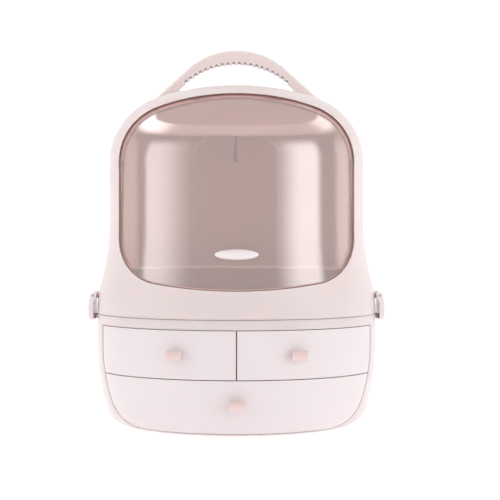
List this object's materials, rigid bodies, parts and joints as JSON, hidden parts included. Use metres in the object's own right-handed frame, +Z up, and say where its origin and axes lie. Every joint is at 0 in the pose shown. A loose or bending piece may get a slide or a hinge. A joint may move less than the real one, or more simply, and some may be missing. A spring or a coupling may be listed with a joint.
{
  "type": "cosmetic organizer box",
  "caption": "Oval pink cosmetic organizer with pull-out drawers, a domed hood with a clear flip-up visor, side buckles and a notched carrying handle.",
  "frame": {"origin": "on the surface the box stands on, under the middle of its bounding box", "axes": "+Z up, -Y out of the front with the drawers and the visor, +X to the right seen from the front"},
  "size_m": [0.2744, 0.2025, 0.35],
  "materials": {
    "pink_shell": "satin moulded",
    "pale_latch": "gloss moulded",
    "pink_knob": "gloss moulded",
    "white_drawer": "satin moulded",
    "smoke_visor": "clear rose tint, polished",
    "white_pull": "gloss moulded",
    "clear_pin": "gloss moulded",
    "steel": "zinc plated",
    "rubber": "matte, anti-slip"
  },
  "bodies": {
    "cabinet": {"base_shell": "pink_shell", "anti_slip_pad": "rubber", "drawer_shelf": "pink_shell", "drawer_partition": "pink_shell", "compartment_floor": "pink_shell", "deck_screws": "steel", "hood_shell": "pink_shell", "back_liner": "pink_shell", "handle": "pink_shell", "handle_screws": "steel", "left_latch_pin": "steel", "right_latch_pin": "steel", "left_visor_pin": "clear_pin", "right_visor_pin": "clear_pin", "upper_tray": "pink_shell", "tray_cross_divider": "pink_shell", "tray_left_divider": "pink_shell", "tray_right_divider": "pink_shell", "tray_front_divider": "pink_shell"},
    "left_drawer": {"left_drawer_front": "white_drawer", "left_drawer_box": "white_drawer", "left_drawer_knob": "pink_knob", "left_drawer_screw": "steel"},
    "right_drawer": {"right_drawer_front": "white_drawer", "right_drawer_box": "white_drawer", "right_drawer_knob": "pink_knob", "right_drawer_screw": "steel"},
    "lower_drawer": {"lower_drawer_front": "white_drawer", "lower_drawer_box": "white_drawer", "lower_drawer_knob": "pink_knob", "lower_drawer_screw": "steel"},
    "visor": {"visor": "smoke_visor", "visor_pull": "white_pull"},
    "left_latch": {"left_latch": "pale_latch"},
    "right_latch": {"right_latch": "pale_latch"}
  },
  "joints": [
    {"name": "left_drawer_slide", "type": "slide", "parent": "cabinet", "child": "left_drawer", "axis": [0, -1, 0], "range_m": [0, 0.095]},
    {"name": "right_drawer_slide", "type": "slide", "parent": "cabinet", "child": "right_drawer", "axis": [0, -1, 0], "range_m": [0, 0.095]},
    {"name": "lower_drawer_slide", "type": "slide", "parent": "cabinet", "child": "lower_drawer", "axis": [0, -1, 0], "range_m": [0, 0.095]},
    {"name": "visor_hinge", "type": "hinge", "parent": "cabinet", "child": "visor", "pos_m": [0, -0.02075, 0.24], "axis": [-1, 0, 0], "range_deg": [0, 90]},
    {"name": "left_latch_hinge", "type": "hinge", "parent": "cabinet", "child": "left_latch", "pos_m": [-0.1326, 0.00625, 0.119], "axis": [0, 1, 0], "range_deg": [0, 90]},
    {"name": "right_latch_hinge", "type": "hinge", "parent": "cabinet", "child": "right_latch", "pos_m": [0.1326, 0.00625, 0.119], "axis": [0, -1, 0], "range_deg": [0, 90]}
  ]
}
